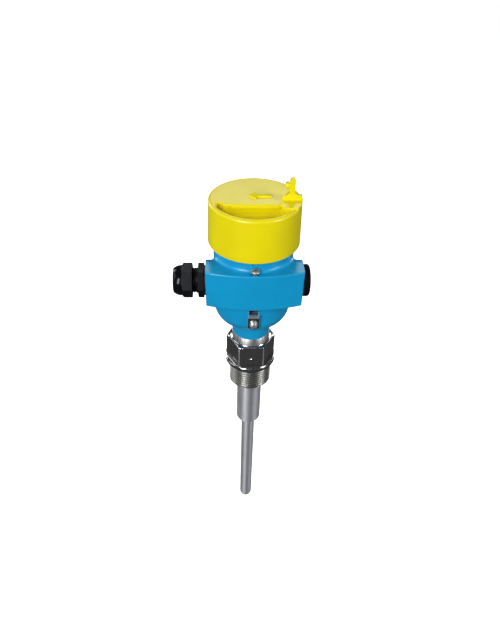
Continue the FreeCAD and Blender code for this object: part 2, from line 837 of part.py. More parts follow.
def plug_gasket():
    return at_entry(ring(gasket_r, entry_thread_r, gasket_height), 1)


def blind_plug():
    head_end = gasket_height + plug_head
    plug = turned([
        (0, -plug_spigot),
        (entry_spigot_r - edge_break, -plug_spigot),
        (entry_spigot_r, edge_break - plug_spigot),
        (entry_spigot_r, gasket_height),
        (plug_r, gasket_height),
        (plug_r, head_end - plug_dome),
        bowl_arc(plug_r - plug_dome_width, head_end, plug_r, head_end - plug_dome),
        (plug_r - plug_dome_width, head_end),
        (0, head_end),
    ])
    slot_half = plug_r - plug_slot_margin
    slot = brick(-slot_half, slot_half, -plug_slot_width / 2, plug_slot_width / 2,
                 head_end - plug_slot_depth, head_end)
    return at_entry(plug.cut(slot), 1)


# Earth terminal

def earth_clamp():
    """Plate with a lip bent forward at its top edge, over the wire slot."""
    front_y = earth_pad_y - earth_plate_thickness
    plate = brick(-earth_plate_half, earth_plate_half, front_y, earth_pad_y,
                  earth_plate_bottom_z, earth_plate_top_z)
    lip = brick(-earth_plate_half, earth_plate_half, front_y - earth_lip, front_y,
                earth_plate_top_z - earth_plate_thickness, earth_plate_top_z)
    hole_start = Vector(0, earth_pad_y, earth_screw_z)
    hole = bar(earth_screw_r + seat_gap, earth_plate_thickness, hole_start, front)
    return plate.fuse(lip).removeSplitter().cut(hole)


def earth_washer():
    washer = ring(earth_washer_r, earth_screw_r + seat_gap, earth_washer_height)
    return facing_front(washer, earth_pad_y - earth_plate_thickness, earth_screw_z)


def earth_screw():
    seat_y = earth_pad_y - earth_plate_thickness - earth_washer_height
    screw = pan_head_screw(earth_screw_head_r, earth_screw_head, earth_screw_r, earth_screw_length)
    return facing_front(screw, seat_y, earth_screw_z)


# Electronics module with its terminals and settings

def electronics_module():
    case = turned([
        (0, ledge_z),
        (module_r, ledge_z),
        (module_r, ledge_z + module_flange),
        (module_body_r, ledge_z + module_flange),
        (module_body_r, module_top_z - module_edge),
        (module_body_r - module_edge, module_top_z),
        (0, module_top_z),
    ])
    cuts = [screw_niche(-1), screw_niche(1)]
    for side in (-1, 1):
        foot = Vector(side * module_screw_x, 0, ledge_z)
        cuts.append(bar(module_screw_r + turned_fit, module_flange, foot))
    shaft_depth = dial_shaft + sliding_gap
    cuts.append(bar(dial_shaft_r + turned_fit, shaft_depth, Vector(0, dial_y, module_top_z - shaft_depth)))
    slot_start = switch_x - switch_length / 2 - sliding_gap
    slot_end = switch_x + switch_length / 2 + switch_travel + sliding_gap
    slot_half = switch_width / 2 + sliding_gap
    cuts.append(brick(slot_start, slot_end, switch_y - slot_half, switch_y + slot_half,
                      module_top_z - switch_depth, module_top_z))
    cuts.append(bar(led_r + seat_gap, led_depth, Vector(led_x, led_y, module_top_z - led_depth)))
    return case.cut(cuts)


def screw_niche(side):
    """Room for a screw's head in the module's side, round inside and open outwards."""
    half = module_screw_head_r + sliding_gap
    seat_z = ledge_z + module_flange
    x_ends = sorted((side * module_screw_x, side * module_r))
    niche = bar(half, module_top_z - seat_z, Vector(side * module_screw_x, 0, seat_z))
    return niche.fuse(brick(x_ends[0], x_ends[1], -half, half, seat_z, module_top_z)).removeSplitter()


def module_screws():
    screws = []
    for side in (-1, 1):
        screw = pan_head_screw(module_screw_head_r, module_screw_head, module_screw_r, module_screw_length)
        screw.translate(Vector(side * module_screw_x, 0, ledge_z + module_flange))
        screws.append(screw)
    return Part.makeCompound(screws)


def terminal_block():
    half = terminal_count * terminal_pitch / 2
    block = brick(-half, half, terminal_y, terminal_back_y, module_top_z, terminal_top_z)
    edge = [e for e in block.Edges if near(e, x=0, y=terminal_y, z=terminal_top_z)]
    block = block.makeChamfer(terminal_wall, edge)
    cuts = []
    for x in terminal_xs:
        cuts.append(wire_space(x, terminal_y, 0))
        cuts.append(screw_space(x))
    return block.cut(cuts)


def wire_space(x, front_y, sheet):
    """Square hole for one wire, as wide as the terminal allows inside a sheet of metal."""
    half = terminal_wire / 2 - sheet
    return brick(x - half, x + half, front_y, terminal_back_y - terminal_wall,
                 terminal_floor_z + sheet, terminal_floor_z + terminal_wire - sheet)


def screw_space(x):
    """Hole for a terminal's screw, from the middle of the wire hole up to the top."""
    foot_z = terminal_floor_z + terminal_wire / 2
    return bar(terminal_screw_r + seat_gap, terminal_top_z - foot_z, Vector(x, terminal_screw_y, foot_z))


def terminal_clamps():
    """Metal cages in the wire holes."""
    start_y = terminal_y + terminal_set_back
    cages = []
    for x in terminal_xs:
        cage = wire_space(x, start_y, 0).cut(wire_space(x, start_y, terminal_sheet))
        cages.append(cage.cut(screw_space(x)))
    return Part.makeCompound(cages)


def terminal_screws():
    foot_z = terminal_floor_z + terminal_wire / 2
    head_z = terminal_top_z - terminal_screw_depth
    half = terminal_slot / 2
    screws = []
    for x in terminal_xs:
        screw = bar(terminal_screw_r, head_z - foot_z, Vector(x, terminal_screw_y, foot_z))
        slot = brick(x - half, x + half, terminal_y, terminal_back_y, head_z - driver_slot_depth, head_z)
        screws.append(screw.cut(slot))
    return Part.makeCompound(screws)


def mode_switch():
    """Slider that changes the switching mode, at the left end of its slot."""
    half = switch_length / 2
    half_width = switch_width / 2
    top_z = module_top_z + switch_rise
    knob = brick(switch_x - half, switch_x + half, switch_y - half_width, switch_y + half_width,
                 module_top_z - switch_depth, top_z)
    return knob.makeChamfer(switch_edge, [e for e in knob.Edges if near(e, z=top_z)])


def sensitivity_dial():
    top_z = module_top_z + dial_height
    dial = turned([
        (0, module_top_z - dial_shaft),
        (dial_shaft_r, module_top_z - dial_shaft),
        (dial_shaft_r, module_top_z),
        (dial_r, module_top_z),
        (dial_r - dial_taper, top_z),
        (0, top_z),
    ])
    slot = brick(-dial_r, dial_r, -dial_slot / 2, dial_slot / 2, top_z - dial_slot_depth, top_z)
    pointer = brick(dial_r - dial_pointer, dial_r, -dial_pointer / 2, dial_pointer / 2,
                    top_z - dial_pointer_depth, top_z)
    dial = dial.cut([slot, pointer])
    dial.translate(Vector(0, dial_y, 0))
    return dial


def status_led():
    dome_z = module_top_z + led_rise / 2
    lens = turned([
        (0, module_top_z - led_depth),
        (led_r, module_top_z - led_depth),
        (led_r, dome_z),
        dome_arc(led_r, led_rise / 2, dome_z),
        (0, module_top_z + led_rise),
    ])
    lens.translate(Vector(led_x, led_y, 0))
    return lens


parts = {
    "process_fitting": process_fitting,
    "spigot_o_ring": spigot_o_ring,
    "sensor_tube": sensor_tube,
    "sensing_rod": sensing_rod,
    "insulator_rings": insulator_rings,
    "piezo_rings": piezo_rings,
    "electrodes": electrodes,
    "preload_nut": preload_nut,
    "sensor_leads": sensor_leads,
    "housing": housing,
    "lock_screw": lock_screw,
    "lid": lid,
    "lid_seal": lid_seal,
    "gland_gasket": gland_gasket,
    "gland_body": gland_body,
    "gland_seal": gland_seal,
    "gland_nut": gland_nut,
    "plug_gasket": plug_gasket,
    "blind_plug": blind_plug,
    "earth_clamp": earth_clamp,
    "earth_washer": earth_washer,
    "earth_screw": earth_screw,
    "electronics_module": electronics_module,
    "module_screws": module_screws,
    "terminal_block": terminal_block,
    "terminal_clamps": terminal_clamps,
    "terminal_screws": terminal_screws,
    "mode_switch": mode_switch,
    "sensitivity_dial": sensitivity_dial,
    "status_led": status_led,
}

os.makedirs("parts", exist_ok=True)
for name, make in parts.items():
    shape = make()
    print(name, "solids", len(shape.Solids), "valid", shape.isValid(), "volume", round(shape.Volume, 1))
    shape.exportStep(os.path.join("parts", name + ".step"))
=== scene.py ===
import bpy
import json
import math
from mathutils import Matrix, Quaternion, Vector

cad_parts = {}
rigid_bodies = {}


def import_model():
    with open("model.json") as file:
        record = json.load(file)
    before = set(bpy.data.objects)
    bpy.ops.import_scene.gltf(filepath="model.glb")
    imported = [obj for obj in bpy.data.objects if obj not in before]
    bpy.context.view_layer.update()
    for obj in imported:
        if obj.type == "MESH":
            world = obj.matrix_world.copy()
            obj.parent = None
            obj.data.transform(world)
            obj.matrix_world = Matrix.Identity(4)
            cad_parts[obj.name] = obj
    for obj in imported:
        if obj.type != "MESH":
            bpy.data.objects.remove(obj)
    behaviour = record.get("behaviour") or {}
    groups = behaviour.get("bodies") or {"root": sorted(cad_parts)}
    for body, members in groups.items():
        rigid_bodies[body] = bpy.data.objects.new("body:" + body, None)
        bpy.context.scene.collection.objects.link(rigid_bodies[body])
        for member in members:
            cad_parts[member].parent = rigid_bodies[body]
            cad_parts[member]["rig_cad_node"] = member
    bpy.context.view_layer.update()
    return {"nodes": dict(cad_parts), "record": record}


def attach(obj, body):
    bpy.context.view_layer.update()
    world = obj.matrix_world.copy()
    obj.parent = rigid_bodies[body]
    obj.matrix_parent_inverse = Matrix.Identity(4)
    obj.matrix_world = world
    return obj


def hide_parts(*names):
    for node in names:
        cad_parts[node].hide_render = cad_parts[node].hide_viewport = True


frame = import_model()
nodes = frame["nodes"]
print("frame loaded,", len(nodes), "nodes")


# selection and finishing

mergeGap = 0.000002  # corners of loose triangles closer than this become one


def clearSelection():
    if bpy.context.object and bpy.context.object.mode != "OBJECT":
        bpy.ops.object.mode_set(mode="OBJECT")
    bpy.ops.object.select_all(action="DESELECT")


def pick(obj):
    clearSelection()
    obj.select_set(True)
    bpy.context.view_layer.objects.active = obj


def freeze(obj):  # place, turn and scale go into the mesh
    pick(obj)
    bpy.ops.object.transform_apply(location=True, rotation=True, scale=True)


def applyAll(obj):
    pick(obj)
    for modifier in list(obj.modifiers):
        bpy.ops.object.modifier_apply(modifier=modifier.name)


def cleanMesh(obj):
    pick(obj)
    bpy.ops.object.mode_set(mode="EDIT")
    bpy.ops.mesh.select_all(action="SELECT")
    bpy.ops.mesh.remove_doubles(threshold=mergeGap)
    bpy.ops.mesh.normals_make_consistent(inside=False)
    bpy.ops.object.mode_set(mode="OBJECT")


def smoothBy(obj, degrees):
    pick(obj)
    bpy.ops.object.shade_smooth_by_angle(angle=math.radians(degrees))
    weigh = obj.modifiers.new("weigh", "WEIGHTED_NORMAL")  # broad flat faces stay flat beside round edges
    weigh.keep_sharp = True
    applyAll(obj)


def dress(obj, material):
    obj.data.materials.clear()
    obj.data.materials.append(material)


def settle(obj, name, body, material):
    obj.name = name
    obj.data.name = name
    dress(obj, material)
    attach(obj, body)
    print("piece", name, "faces", len(obj.data.polygons))


# nodes that groups and materials are put together from

def addNode(tree, kind, place, settings=None, values=None):
    node = tree.nodes.new(kind)
    node.location = place
    for key, value in (settings or {}).items():
        setattr(node, key, value)
    for key, value in (values or {}).items():
        node.inputs[key].default_value = value
    return node


def feed(tree, target, value):  # a socket is linked, a colour or a number is set
    if isinstance(value, bpy.types.NodeSocket):
        tree.links.new(value, target)
    elif isinstance(value, tuple):
        target.default_value = (*value, 1.0)
    else:
        target.default_value = value


def rangeNode(tree, place, source, low, high, outLow=0.0, outHigh=1.0):
    node = addNode(tree, "ShaderNodeMapRange", place, {"clamp": True},
                   {"From Min": low, "From Max": high, "To Min": outLow, "To Max": outHigh})
    tree.links.new(source, node.inputs["Value"])
    return node.outputs["Result"]


def multiplyNode(tree, place, first, second):
    node = addNode(tree, "ShaderNodeMath", place, {"operation": "MULTIPLY"})
    tree.links.new(first, node.inputs[0])
    tree.links.new(second, node.inputs[1])
    return node.outputs["Value"]


def scaleVector(tree, place, vector, factors):
    node = addNode(tree, "ShaderNodeVectorMath", place, {"operation": "MULTIPLY"}, {1: factors})
    tree.links.new(vector, node.inputs[0])
    return node.outputs["Vector"]


def axisOf(tree, place, vector, axis):
    parts = addNode(tree, "ShaderNodeSeparateXYZ", place)
    tree.links.new(vector, parts.inputs["Vector"])
    return parts.outputs[axis]


def noiseLayer(tree, height, vector, layer, scale=None):
    # scale is the group's own input where the layer has none
    noise = addNode(tree, "ShaderNodeTexNoise", (-400, height), None,
                    {"Detail": layer["detail"], "Roughness": layer["rough"]})
    tree.links.new(vector, noise.inputs["Vector"])
    feed(tree, noise.inputs["Scale"], layer.get("scale", scale))
    if "range" not in layer:
        return noise.outputs["Fac"]
    return rangeNode(tree, (-200, height), noise.outputs["Fac"], *layer["range"])


def newGroup(name, inputs, outputs):
    group = bpy.data.node_groups.new(name, "ShaderNodeTree")
    group.interface.new_socket("Vector", in_out="INPUT", socket_type="NodeSocketVector")
    for label, value in inputs.items():
        socket = group.interface.new_socket(label, in_out="INPUT", socket_type="NodeSocketFloat")
        socket.default_value = value
    for label in outputs:
        group.interface.new_socket(label, in_out="OUTPUT", socket_type="NodeSocketFloat")
    start = addNode(group, "NodeGroupInput", (-900, 0))
    end = addNode(group, "NodeGroupOutput", (700, 0))
    return group, start.outputs, end.inputs


# shader groups

skinLayers = {"peel": {"detail": 1.5, "rough": 0.5},
              "mottle": {"detail": 4.0, "rough": 0.5, "range": (0.32, 0.72)},
              "speck": {"scale": 2600.0, "detail": 0.0, "rough": 0.5, "range": (0.72, 0.80)}}


def buildPaintSkin():
    group, start, end = newGroup("paintSkin", {"Peel Scale": 900.0, "Mottle Scale": 60.0},
                                 ["Peel", "Mottle", "Speck"])
    vector = start["Vector"]
    group.links.new(noiseLayer(group, 200, vector, skinLayers["peel"], start["Peel Scale"]), end["Peel"])
    group.links.new(noiseLayer(group, -50, vector, skinLayers["mottle"], start["Mottle Scale"]),
                    end["Mottle"])
    group.links.new(noiseLayer(group, -300, vector, skinLayers["speck"]), end["Speck"])
    return group


markLayers = {"rings": {"scale": 1.0, "detail": 3.0, "rough": 0.65},
              "scratch": {"detail": 3.0, "rough": 0.7, "range": (0.56, 0.74), "stretch": (1.0, 1.0, 0.06)},
              "stain": {"scale": 34.0, "detail": 5.0, "rough": 0.6, "range": (0.35, 0.75)}}


def buildToolMarks():
    # turned rings run round Z, scratches lie across them, stain is a slow cloud
    group, start, end = newGroup("toolMarks", {"Ring Scale": 2200.0, "Scratch Scale": 260.0},
                                 ["Rings", "Scratch", "Stain"])
    vector = start["Vector"]
    along = multiplyNode(group, (-600, 200), axisOf(group, (-750, 200), vector, "Z"), start["Ring Scale"])
    line = addNode(group, "ShaderNodeCombineXYZ", (-500, 350))
    group.links.new(along, line.inputs["Z"])
    squeezed = scaleVector(group, (-600, -50), vector, markLayers["scratch"]["stretch"])
    group.links.new(noiseLayer(group, 200, line.outputs["Vector"], markLayers["rings"]), end["Rings"])
    group.links.new(noiseLayer(group, -50, squeezed, markLayers["scratch"], start["Scratch Scale"]),
                    end["Scratch"])
    group.links.new(noiseLayer(group, -300, vector, markLayers["stain"]), end["Stain"])
    return group


mouldLayers = {"grain": {"detail": 2.0, "rough": 0.6},
               "blotch": {"scale": 90.0, "detail": 4.0, "rough": 0.5, "range": (0.3, 0.75)},
               "scuff": {"scale": 420.0, "detail": 6.0, "rough": 0.75, "range": (0.60, 0.74)}}


def buildMouldGrain():
    group, start, end = newGroup("mouldGrain", {"Grain Scale": 3000.0}, ["Grain", "Blotch", "Scuff"])
    vector = start["Vector"]
    group.links.new(noiseLayer(group, 200, vector, mouldLayers["grain"], start["Grain Scale"]), end["Grain"])
    group.links.new(noiseLayer(group, -50, vector, mouldLayers["blotch"]), end["Blotch"])
    group.links.new(noiseLayer(group, -300, vector, mouldLayers["scuff"]), end["Scuff"])
    return group


roundSamples = 6  # rays that look for an edge
edgeLayers = {"line": (0.99, 0.93), "broken": {"detail": 4.0, "rough": 0.65, "range": (0.30, 0.55)}}


def buildEdgeWear():
    # where the rounded normal leaves the true one there is an edge, and noise breaks the line up
    group, start, end = newGroup("edgeWear", {"Radius": 0.0004, "Break Scale": 500.0}, ["Edge"])
    rounded = addNode(group, "ShaderNodeBevel", (-600, 200), {"samples": roundSamples})
    group.links.new(start["Radius"], rounded.inputs["Radius"])
    shape = addNode(group, "ShaderNodeNewGeometry", (-600, 0))
    along = addNode(group, "ShaderNodeVectorMath", (-350, 150), {"operation": "DOT_PRODUCT"})
    group.links.new(rounded.outputs["Normal"], along.inputs[0])
    group.links.new(shape.outputs["Normal"], along.inputs[1])
    line = rangeNode(group, (-150, 150), along.outputs["Value"], *edgeLayers["line"])
    broken = noiseLayer(group, -200, start["Vector"], edgeLayers["broken"], start["Break Scale"])
    group.links.new(multiplyNode(group, (100, 50), line, broken), end["Edge"])
    return group


paintSkin = buildPaintSkin()
edgeWear = buildEdgeWear()
toolMarks = buildToolMarks()
mouldGrain = buildMouldGrain()
print("shader groups built")


# materials

bumpDepth = {"paint": 0.0002, "steel": 0.0001, "moulded": 0.0001}
wearReach = 1.5  # rubbed paint reaches this much further than the soft edge
ringSpread = (0.25, 0.75)  # part of the ring noise that changes the steel's roughness
maskFade = 0.0005
quarterTurn = 0.25


def startMaterial(name, group, groupValues):
    material = bpy.data.materials.new(name)
    material.use_nodes = True
    tree = material.node_tree
    tree.nodes.clear()
    out = addNode(tree, "ShaderNodeOutputMaterial", (900, 0))
    shader = addNode(tree, "ShaderNodeBsdfPrincipled", (600, 0))
    tree.links.new(shader.outputs["BSDF"], out.inputs["Surface"])
    coords = addNode(tree, "ShaderNodeTexCoord", (-700, 0))
    effect = addNode(tree, "ShaderNodeGroup", (-450, 0), {"node_tree": group}, groupValues)
    tree.links.new(coords.outputs["Object"], effect.inputs["Vector"])
    return material, tree, shader, effect.outputs


def objectCoords(tree):
    return [node for node in tree.nodes if node.type == "TEX_COORD"][0].outputs["Object"]


def addWear(tree, radius):
    wear = addNode(tree, "ShaderNodeGroup", (-450, 500), {"node_tree": edgeWear}, {"Radius": radius})
    tree.links.new(objectCoords(tree), wear.inputs["Vector"])
    return wear.outputs["Edge"]


def mixNode(tree, place, dataType, socketType, mask, first, second):
    node = addNode(tree, "ShaderNodeMix", place, {"data_type": dataType})
    tree.links.new(mask, node.inputs["Factor"])
    for name, value in (("A", first), ("B", second)):
        feed(tree, [s for s in node.inputs if s.name == name and s.type == socketType][0], value)
    return [s for s in node.outputs if s.type == socketType][0]


def colourMix(tree, place, mask, first, second):
    return mixNode(tree, place, "RGBA", "RGBA", mask, first, second)


def floatMix(tree, place, mask, first, second):
    return mixNode(tree, place, "FLOAT", "VALUE", mask, first, second)


def bumpInto(tree, shader, height, strength, distance, edge):
    # edge is the soft radius that every real edge has
    bump = addNode(tree, "ShaderNodeBump", (350, -350), None, {"Strength": strength, "Distance": distance})
    tree.links.new(height, bump.inputs["Height"])
    soft = addNode(tree, "ShaderNodeBevel", (100, -450), {"samples": roundSamples}, {"Radius": edge})
    tree.links.new(soft.outputs["Normal"], bump.inputs["Normal"])
    tree.links.new(bump.outputs["Normal"], shader.inputs["Normal"])


def alongAxis(tree, height, axis, start, full):  # a mask that grows along one axis of the frame
    place = axisOf(tree, (-450, height), objectCoords(tree), axis)
    return rangeNode(tree, (-250, height), place, start, full)


def axisMasks(tree, grooves, corners):
    # distance from the Z axis tells the thread's roots and the hexagon's corners
    flat = scaleVector(tree, (-450, -500), objectCoords(tree), (1, 1, 0))
    reach = addNode(tree, "ShaderNodeVectorMath", (-250, -500), {"operation": "LENGTH"})
    tree.links.new(flat, reach.inputs[0])
    deep = rangeNode(tree, (-50, -500), reach.outputs["Value"], grooves["crest"], grooves["root"])
    outer = rangeNode(tree, (-50, -900), reach.outputs["Value"], corners["start"], corners["full"])
    below = alongAxis(tree, -700, "Z", grooves["top"], grooves["top"] - maskFade)
    above = alongAxis(tree, -1000, "Z", corners["low"], corners["low"] + maskFade)
    roots = multiplyNode(tree, (150, -600), deep, below)
    rubbed = multiplyNode(tree, (150, -900), outer, above)
    return roots, below, rubbed


def paintMaterial(name, finish):
    material, tree, shader, skin = startMaterial(name, paintSkin, {"Peel Scale": finish["peel"],
                                                                   "Mottle Scale": finish["mottle"]})
    tone = colourMix(tree, (-100, 250), skin["Mottle"], finish["colour"], finish["deep"])
    tone = colourMix(tree, (50, 250), skin["Speck"], tone, finish["speck"])
    tone = colourMix(tree, (200, 250), addWear(tree, finish["edge"] * wearReach), tone, finish["rubbed"])
    tree.links.new(tone, shader.inputs["Base Color"])
    rough = rangeNode(tree, (150, 0), skin["Mottle"], 0.0, 1.0, *finish["rough"])
    tree.links.new(rough, shader.inputs["Roughness"])
    shader.inputs["Specular IOR Level"].default_value = finish["gloss"]
    shader.inputs["Coat Weight"].default_value = finish["coat"]
    shader.inputs["Coat Roughness"].default_value = finish["coatRough"]
    bumpInto(tree, shader, skin["Peel"], finish["bump"], bumpDepth["paint"], finish["edge"])
    return material


def steelMaterial(name, finish):
    material, tree, shader, marks = startMaterial(name, toolMarks, {"Ring Scale": finish["rings"],
                                                                    "Scratch Scale": finish["scratch"]})
    tone = colourMix(tree, (-100, 250), marks["Stain"], finish["colour"], finish["stain"])
    tone = colourMix(tree, (50, 250), marks["Scratch"], tone, finish["bright"])
    worn = addWear(tree, finish["wear"])
    tone = colourMix(tree, (200, 250), worn, tone, finish["burnish"])
    rough = rangeNode(tree, (50, 0), marks["Rings"], *ringSpread, *finish["rough"])
    rough = floatMix(tree, (250, 0), worn, rough, finish["wornRough"])
    if "grooves" in finish:  # the thread is cut dull, its roots are darkened with painted shade so the ridges stand out, corners are rubbed
        roots, cut, rubbed = axisMasks(tree, finish["grooves"], finish["corners"])
        tone = colourMix(tree, (250, 250), cut, tone, finish["cutTone"])
        tone = colourMix(tree, (350, 250), roots, tone, finish["rootShade"])
        tone = colourMix(tree, (450, 250), rubbed, tone, finish["burnish"])
        rough = floatMix(tree, (350, 0), cut, rough, finish["cutRough"])
        rough = floatMix(tree, (450, 0), rubbed, rough, finish["wornRough"])
    # a band above a height gets its own tone and roughness: darker, rougher steel on the neck, a painted
    # highlight on the clamp's lip
    if "bandAbove" in finish:
        band = finish["bandAbove"]
        upper = alongAxis(tree, -1200, "Z", band["start"], band["full"])
        tone = colourMix(tree, (450, 400), upper, tone, band["tone"])
        rough = floatMix(tree, (450, 100), upper, rough, band["rough"])
    tree.links.new(tone, shader.inputs["Base Color"])
    tree.links.new(rough, shader.inputs["Roughness"])
    shader.inputs["Metallic"].default_value = 1.0
    if "turned" in finish:  # fine turning spreads a highlight along the axis
        around = addNode(tree, "ShaderNodeTangent", (350, -650), {"direction_type": "RADIAL", "axis": "Z"})
        tree.links.new(around.outputs["Tangent"], shader.inputs["Tangent"])
        shader.inputs["Anisotropic"].default_value = finish["turned"]
        shader.inputs["Anisotropic Rotation"].default_value = quarterTurn
    bumpInto(tree, shader, marks["Rings"], finish["bump"], bumpDepth["steel"], finish["edge"])
    return material


def mouldedMaterial(name, finish):
    material, tree, shader, mould = startMaterial(name, mouldGrain, {"Grain Scale": finish["grain"]})
    tone = colourMix(tree, (-100, 250), mould["Blotch"], finish["colour"], finish["deep"])
    tone = colourMix(tree, (150, 250), mould["Scuff"], tone, finish["scuff"])
    tree.links.new(tone, shader.inputs["Base Color"])
    rough = rangeNode(tree, (150, 0), mould["Blotch"], 0.0, 1.0, *finish["rough"])
    if "nose" in finish:
        polished = alongAxis(tree, -500, "X", finish["nose"]["start"], finish["nose"]["full"])
        rough = floatMix(tree, (350, 0), polished, rough, finish["nose"]["rough"])
    tree.links.new(rough, shader.inputs["Roughness"])
    shader.inputs["Specular IOR Level"].default_value = finish["gloss"]
    bumpInto(tree, shader, mould["Grain"], finish["bump"], bumpDepth["moulded"], finish["edge"])
    return material


lidPaint = {"colour": (0.80, 0.70, 0.002), "deep": (0.76, 0.64, 0.002), "speck": (0.70, 0.58, 0.01),
            "rubbed": (0.86, 0.77, 0.01), "peel": 1100.0, "mottle": 45.0, "rough": (0.30, 0.38),
            "gloss": 0.4, "coat": 0.15, "coatRough": 0.22, "bump": 0.10, "edge": 0.0004}
arrowPaint = {**lidPaint, "rough": (0.70, 0.80), "gloss": 0.12, "coat": 0.0}  # a raised mark stays dull
housingPaint = {"colour": (0.004, 0.31, 0.60), "deep": (0.003, 0.27, 0.54), "speck": (0.01, 0.36, 0.62),
                "rubbed": (0.02, 0.40, 0.70), "peel": 1300.0, "mottle": 50.0, "rough": (0.30, 0.40),
                "gloss": 0.4, "coat": 0.15, "coatRough": 0.25, "bump": 0.12, "edge": 0.0004}
turnedSteel = {"colour": (0.60, 0.60, 0.62), "stain": (0.50, 0.50, 0.49), "bright": (0.70, 0.70, 0.71),
               "burnish": (0.84, 0.84, 0.84), "wornRough": 0.50, "wear": 0.0007,
               # the dark tone for the thread's roots is painted shade, not residue
               "grooves": {"crest": 0.01640, "root": 0.01560, "top": -0.0008}, "rootShade": (0.05, 0.05, 0.045),
               "cutTone": (0.44, 0.44, 0.42), "cutRough": 0.30,
               "corners": {"start": 0.01812, "full": 0.01834, "low": 0.0046},
               "bandAbove": {"start": 0.0230, "full": 0.0232,  # the neck over the hexagon
                               "tone": (0.47, 0.47, 0.48), "rough": 0.42},
               "rings": 2400.0, "scratch": 300.0, "rough": (0.14, 0.20), "turned": 0.15,
               "bump": 0.06, "edge": 0.00015}
rodSteel = {"colour": (0.50, 0.51, 0.545), "stain": (0.43, 0.445, 0.48), "bright": (0.60, 0.61, 0.64),
            "burnish": (0.66, 0.67, 0.70), "wornRough": 0.58, "wear": 0.0004, "rings": 3200.0,
            "scratch": 380.0, "rough": (0.60, 0.70), "turned": 0.74, "bump": 0.10, "edge": 0.0003}
zincSteel = {"colour": (0.66, 0.67, 0.68), "stain": (0.58, 0.57, 0.53), "bright": (0.78, 0.79, 0.80),
             "burnish": (0.84, 0.84, 0.84), "wornRough": 0.55, "wear": 0.0003, "rings": 2600.0,
             "scratch": 700.0, "rough": (0.34, 0.46), "bump": 0.06, "edge": 0.0002}
# the clamp is the zinc finish made darker, painted shade for the dark reflection on its plate
clampSteel = {**zincSteel, "colour": (0.30, 0.30, 0.31), "stain": (0.24, 0.24, 0.23),
              "bright": (0.40, 0.40, 0.41), "rough": (0.22, 0.30),
              "bandAbove": {"start": 0.0635, "full": 0.0637,  # the lip over the wire, made pale as a painted highlight
                              "tone": (0.84, 0.84, 0.84), "rough": 0.55}}
contactBrass = {"colour": (0.70, 0.52, 0.22), "stain": (0.60, 0.42, 0.16), "bright": (0.80, 0.64, 0.32),
                "burnish": (0.84, 0.68, 0.36), "wornRough": 0.40, "wear": 0.0002, "rings": 2600.0,
                "scratch": 600.0, "rough": (0.24, 0.36), "bump": 0.05, "edge": 0.0001}
blackNylon = {"colour": (0.0035, 0.0042, 0.0065), "deep": (0.002, 0.0025, 0.004),
              "scuff": (0.008, 0.009, 0.012), "grain": 3200.0, "rough": (0.42, 0.52), "gloss": 0.12,
              "bump": 0.06, "edge": 0.0003}
noseNylon = {**blackNylon, "gloss": 0.19,  # only the nut's nose is polished
             "nose": {"start": -0.0468, "full": -0.0476, "rough": 0.13}}
plugNylon = {**blackNylon, "rough": (0.62, 0.72), "gloss": 0.03}  # the plug is duller than the gland
sealRubber = {"colour": (0.013, 0.013, 0.013), "deep": (0.009, 0.009, 0.009), "scuff": (0.030, 0.030, 0.030),
              "grain": 2600.0, "rough": (0.62, 0.78), "gloss": 0.35, "bump": 0.18, "edge": 0.0002}
whiteCeramic = {"colour": (0.82, 0.80, 0.75), "deep": (0.76, 0.74, 0.69), "scuff": (0.70, 0.69, 0.66),
                "grain": 4200.0, "rough": (0.30, 0.42), "gloss": 0.5, "bump": 0.05, "edge": 0.0001}
piezoCeramic = {"colour": (0.46, 0.41, 0.32), "deep": (0.40, 0.35, 0.27), "scuff": (0.55, 0.52, 0.46),
                "grain": 4600.0, "rough": (0.50, 0.62), "gloss": 0.4, "bump": 0.08, "edge": 0.0001}
leadSleeve = {"colour": (0.50, 0.03, 0.02), "deep": (0.42, 0.02, 0.02), "scuff": (0.56, 0.08, 0.06),
              "grain": 3600.0, "rough": (0.40, 0.52), "gloss": 0.5, "bump": 0.05, "edge": 0.0001}
moduleGrey = {"colour": (0.15, 0.16, 0.17), "deep": (0.12, 0.13, 0.14), "scuff": (0.20, 0.21, 0.22),
              "grain": 3000.0, "rough": (0.46, 0.58), "gloss": 0.45, "bump": 0.14, "edge": 0.0002}
terminalGreen = {"colour": (0.03, 0.26, 0.09), "deep": (0.02, 0.21, 0.07), "scuff": (0.07, 0.32, 0.14),
                 "grain": 3000.0, "rough": (0.44, 0.56), "gloss": 0.45, "bump": 0.12, "edge": 0.0002}
switchWhite = {"colour": (0.78, 0.77, 0.73), "deep": (0.72, 0.71, 0.66), "scuff": (0.64, 0.63, 0.60),
               "grain": 3400.0, "rough": (0.40, 0.52), "gloss": 0.5, "bump": 0.08, "edge": 0.0002}
ledLens = {"colour": (0.45, 0.02, 0.015), "deep": (0.36, 0.012, 0.01), "scuff": (0.52, 0.05, 0.04),
           "grain": 3400.0, "rough": (0.12, 0.20), "gloss": 0.6, "bump": 0.02, "edge": 0.0001}

finishes = {
    "lid_yellow": paintMaterial("lidYellow", lidPaint),
    "housing_blue": paintMaterial("housingBlue", housingPaint),
    "stainless_steel": steelMaterial("turnedStainless", turnedSteel),
    "zinc_steel": steelMaterial("zincSteel", zincSteel),
    "contact_brass": steelMaterial("contactBrass", contactBrass),
    "gland_black": mouldedMaterial("blackNylon", blackNylon),
    "seal_rubber": mouldedMaterial("sealRubber", sealRubber),
    "insulator_ceramic": mouldedMaterial("whiteCeramic", whiteCeramic),
    "piezo_ceramic": mouldedMaterial("piezoCeramic", piezoCeramic),
    "lead_sleeve": mouldedMaterial("leadSleeve", leadSleeve),
    "module_grey": mouldedMaterial("moduleGrey", moduleGrey),
    "terminal_green": mouldedMaterial("terminalGreen", terminalGreen),
    "switch_white": mouldedMaterial("switchWhite", switchWhite),
    "led_lens": mouldedMaterial("ledLens", ledLens),
}
arrowMaterial = paintMaterial("arrowYellow", arrowPaint)
rodMaterial = steelMaterial("rodStainless", rodSteel)
